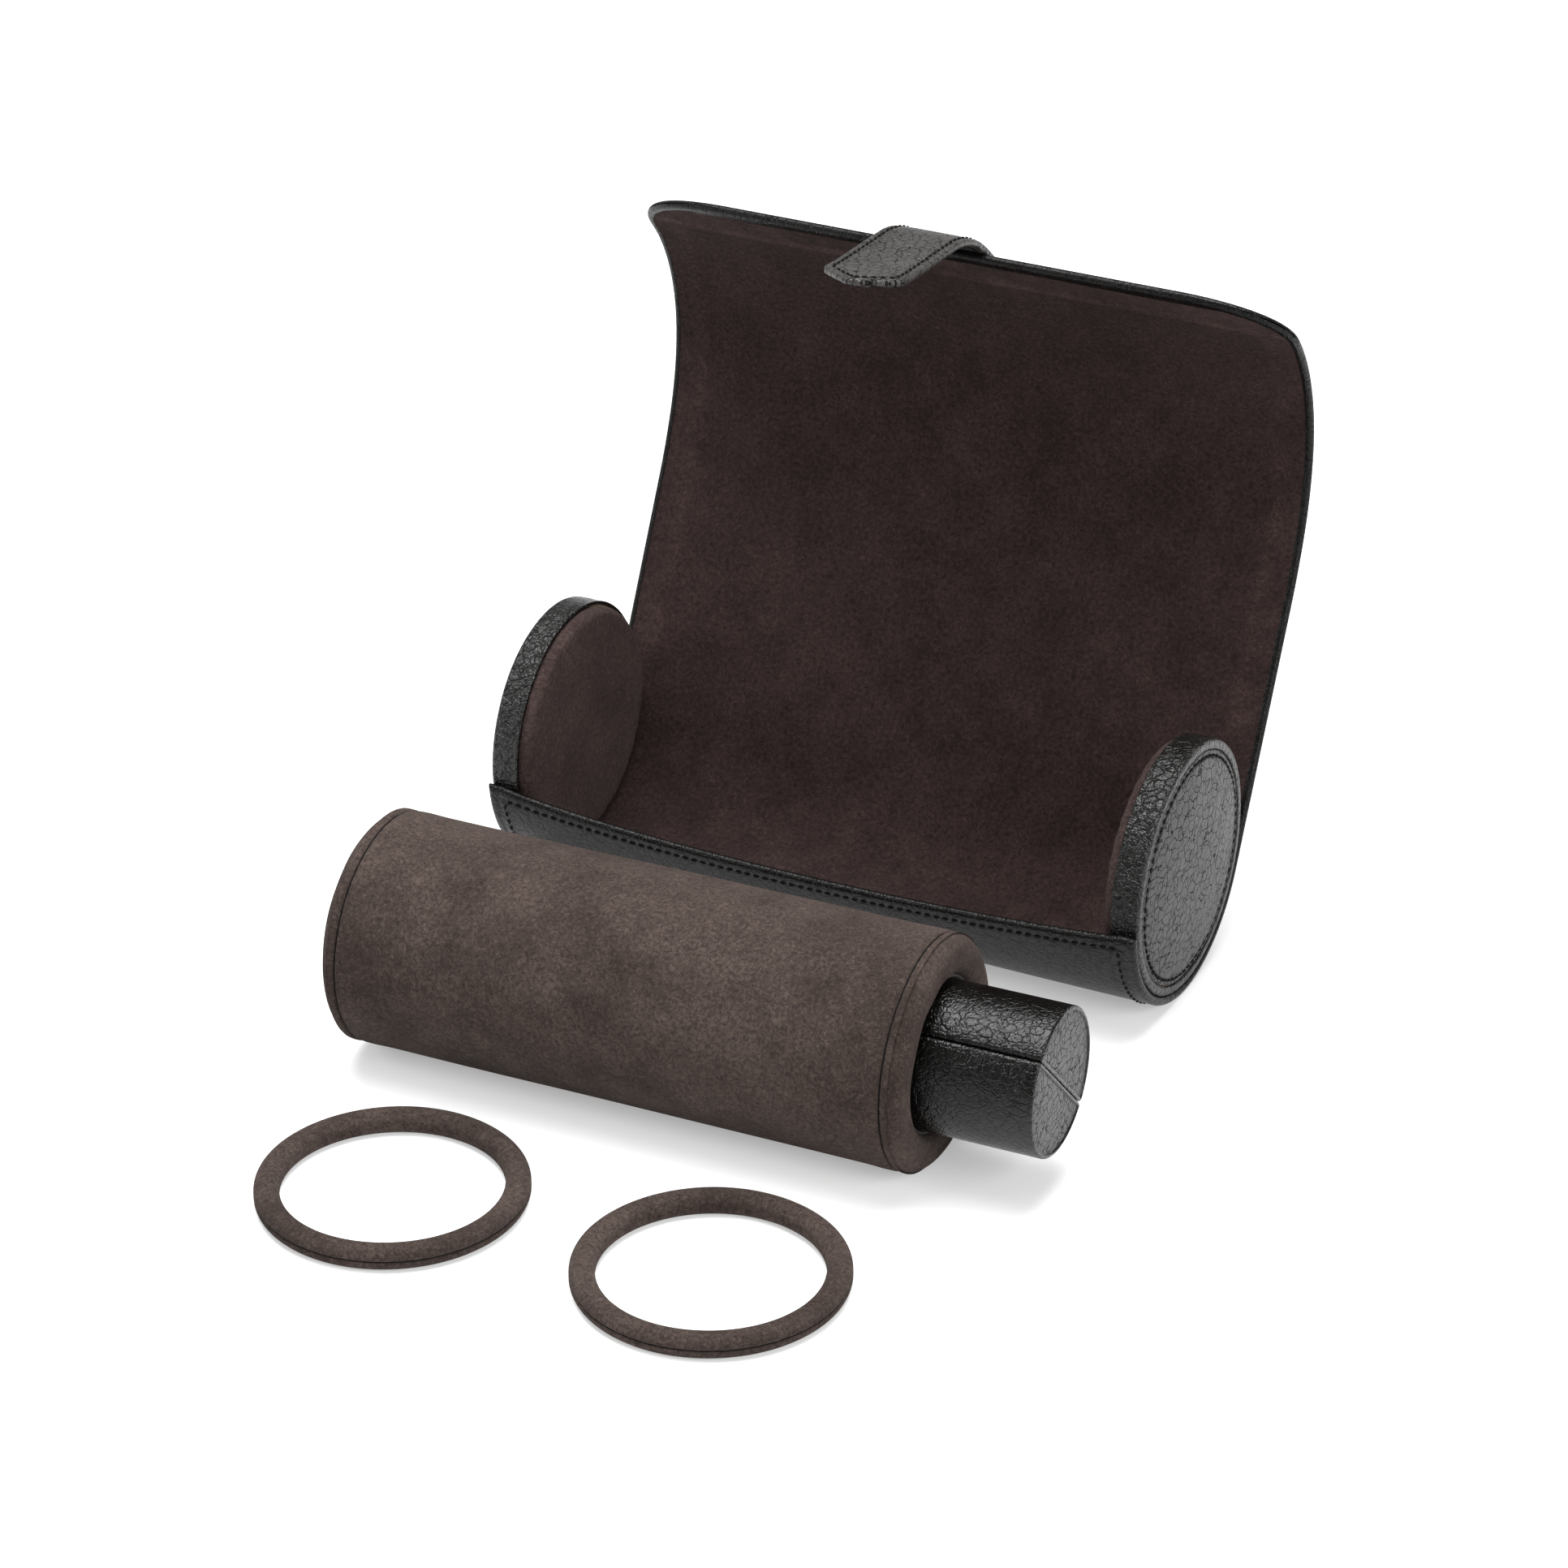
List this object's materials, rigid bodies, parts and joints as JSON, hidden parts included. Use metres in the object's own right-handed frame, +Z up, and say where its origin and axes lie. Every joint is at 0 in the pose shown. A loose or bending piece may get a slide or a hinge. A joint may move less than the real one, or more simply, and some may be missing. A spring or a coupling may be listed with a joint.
{
  "type": "watch roll",
  "caption": "Cylindrical leather watch case with a wrap-over lid and snap tab, standing open, with its padded watch sleeve, split core and divider rings laid in front.",
  "frame": {"origin": "middle of the narrow flat under the case, which it stands on", "axes": "+X along the case towards the end that the core stands out at, +Y from the loose sleeve to the lid at the back, +Z up"},
  "size_m": [0.2745, 0.3973, 0.2584],
  "materials": {
    "case_leather": "fine pebbled grain, semi-gloss black",
    "core_leather": "fine grain, satin black",
    "brown_suede": "dark brown suede, matt nap",
    "taupe_suede": "grey-brown suede, matt nap",
    "board": "raw fibreboard, hidden",
    "foam": "dense foam, hidden",
    "liner_cloth": "dark brown cloth",
    "snap_metal": "gunmetal, satin"
  },
  "bodies": {
    "case": {"shell_leather": "case_leather", "shell_board": "board", "shell_lining": "brown_suede", "cap_left_board": "board", "cap_left_band": "case_leather", "cap_left_face": "case_leather", "cap_left_pad": "brown_suede", "cap_right_board": "board", "cap_right_band": "case_leather", "cap_right_face": "case_leather", "cap_right_pad": "brown_suede", "snap_socket": "snap_metal"},
    "lid_1": {"lid_leather_1": "case_leather", "lid_board_1": "board", "lid_lining_1": "brown_suede"},
    "lid_2": {"lid_leather_2": "case_leather", "lid_board_2": "board", "lid_lining_2": "brown_suede"},
    "lid_3": {"lid_leather_3": "case_leather", "lid_board_3": "board", "lid_lining_3": "brown_suede"},
    "lid_4": {"lid_leather_4": "case_leather", "lid_board_4": "board", "lid_lining_4": "brown_suede"},
    "lid_5": {"lid_leather_5": "case_leather", "lid_board_5": "board", "lid_lining_5": "brown_suede"},
    "lid_6": {"lid_leather_6": "case_leather", "lid_board_6": "board", "lid_lining_6": "brown_suede"},
    "lid_7": {"lid_leather_7": "case_leather", "lid_board_7": "board", "lid_lining_7": "brown_suede"},
    "lid_8": {"lid_leather_8": "case_leather", "lid_board_8": "board", "lid_lining_8": "brown_suede", "tab_root": "case_leather"},
    "tab_1": {"tab_strap_1": "case_leather"},
    "tab_2": {"tab_strap_2": "case_leather"},
    "tab_3": {"tab_strap_3": "case_leather", "snap_stud": "snap_metal"},
    "sleeve": {"sleeve_cover": "taupe_suede", "sleeve_foam": "foam", "sleeve_liner": "liner_cloth"},
    "core": {"core_back_former": "foam", "core_back_wrap": "core_leather", "core_back_left_pad": "core_leather", "core_back_right_pad": "core_leather", "core_front_former": "foam", "core_front_wrap": "core_leather", "core_front_left_pad": "core_leather", "core_front_right_pad": "core_leather"},
    "ring_left": {"ring_left_top_cover": "taupe_suede", "ring_left_bottom_cover": "taupe_suede", "ring_left_hoop": "board"},
    "ring_right": {"ring_right_top_cover": "taupe_suede", "ring_right_bottom_cover": "taupe_suede", "ring_right_hoop": "board"}
  },
  "joints": [
    {"name": "lid_hinge", "type": "hinge", "parent": "case", "child": "lid_1", "pos_m": [0, 0.04886, 0.04244], "axis": [1, 0, 0], "range_deg": [0, 32.5], "stiffness_Nm_per_rad": 0.15, "springref_deg": -2.86},
    {"name": "lid_curl_2", "type": "hinge", "parent": "lid_1", "child": "lid_2", "pos_m": [0, 0.06135, 0.06694], "axis": [1, 0, 0], "range_deg": [0, 32.5], "stiffness_Nm_per_rad": 0.15, "springref_deg": -2.86},
    {"name": "lid_curl_3", "type": "hinge", "parent": "lid_2", "child": "lid_3", "pos_m": [0, 0.07383, 0.09144], "axis": [1, 0, 0], "range_deg": [0, 30.5], "stiffness_Nm_per_rad": 0.15, "springref_deg": -2.86},
    {"name": "lid_curl_4", "type": "hinge", "parent": "lid_3", "child": "lid_4", "pos_m": [0, 0.08632, 0.11595], "axis": [1, 0, 0], "range_deg": [0, 30.5], "stiffness_Nm_per_rad": 0.15, "springref_deg": -2.86},
    {"name": "lid_curl_5", "type": "hinge", "parent": "lid_4", "child": "lid_5", "pos_m": [0, 0.09683, 0.14133], "axis": [1, 0, 0], "range_deg": [0, 16.3], "stiffness_Nm_per_rad": 0.15, "springref_deg": -6.88},
    {"name": "lid_curl_6", "type": "hinge", "parent": "lid_5", "child": "lid_6", "pos_m": [0, 0.10159, 0.16832], "axis": [1, 0, 0], "range_deg": [0, 8.9], "stiffness_Nm_per_rad": 0.15, "springref_deg": -9.17},
    {"name": "lid_curl_7", "type": "hinge", "parent": "lid_6", "child": "lid_7", "pos_m": [0, 0.09755, 0.19537], "axis": [1, 0, 0], "range_deg": [0, 13.3], "stiffness_Nm_per_rad": 0.15, "springref_deg": -8.59},
    {"name": "lid_curl_8", "type": "hinge", "parent": "lid_7", "child": "lid_8", "pos_m": [0, 0.08389, 0.21904], "axis": [1, 0, 0], "range_deg": [0, 12.8], "stiffness_Nm_per_rad": 0.15, "springref_deg": -5.73},
    {"name": "tab_hinge", "type": "hinge", "parent": "lid_8", "child": "tab_1", "pos_m": [0, 0.06633, 0.24083], "axis": [1, 0, 0], "range_deg": [0, 8], "stiffness_Nm_per_rad": 0.4, "springref_deg": -1.72},
    {"name": "tab_curl_2", "type": "hinge", "parent": "tab_1", "child": "tab_2", "pos_m": [0, 0.04154, 0.25035], "axis": [1, 0, 0], "range_deg": [0, 9], "stiffness_Nm_per_rad": 0.1, "springref_deg": -2.86},
    {"name": "tab_curl_3", "type": "hinge", "parent": "tab_2", "child": "tab_3", "pos_m": [0, 0.01457, 0.25177], "axis": [1, 0, 0], "range_deg": [0, 31], "stiffness_Nm_per_rad": 0.05, "springref_deg": -2.86},
    {"name": "sleeve_lift", "type": "slide", "parent": "case", "child": "sleeve", "axis": [0, 0, 1], "range_m": [0, 0.06]},
    {"name": "core_slide", "type": "slide", "parent": "sleeve", "child": "core", "axis": [0.9994, 0.0349, 0], "range_m": [-0.0417, 0.04]},
    {"name": "ring_left_lift", "type": "slide", "parent": "case", "child": "ring_left", "axis": [0, 0, 1], "range_m": [0, 0.04]},
    {"name": "ring_right_lift", "type": "slide", "parent": "case", "child": "ring_right", "axis": [0, 0, 1], "range_m": [0, 0.04]}
  ],
  "couplings": [
    {"joint": "lid_curl_2", "follows": "lid_hinge", "ratio": 1},
    {"joint": "lid_curl_3", "follows": "lid_hinge", "ratio": 0.93846},
    {"joint": "lid_curl_4", "follows": "lid_hinge", "ratio": 0.93846},
    {"joint": "lid_curl_5", "follows": "lid_hinge", "ratio": 0.50154},
    {"joint": "lid_curl_6", "follows": "lid_hinge", "ratio": 0.27385},
    {"joint": "lid_curl_7", "follows": "lid_hinge", "ratio": 0.40923},
    {"joint": "lid_curl_8", "follows": "lid_hinge", "ratio": 0.39385},
    {"joint": "tab_curl_2", "follows": "tab_hinge", "ratio": 1.125},
    {"joint": "tab_curl_3", "follows": "tab_hinge", "ratio": 3.875}
  ]
}
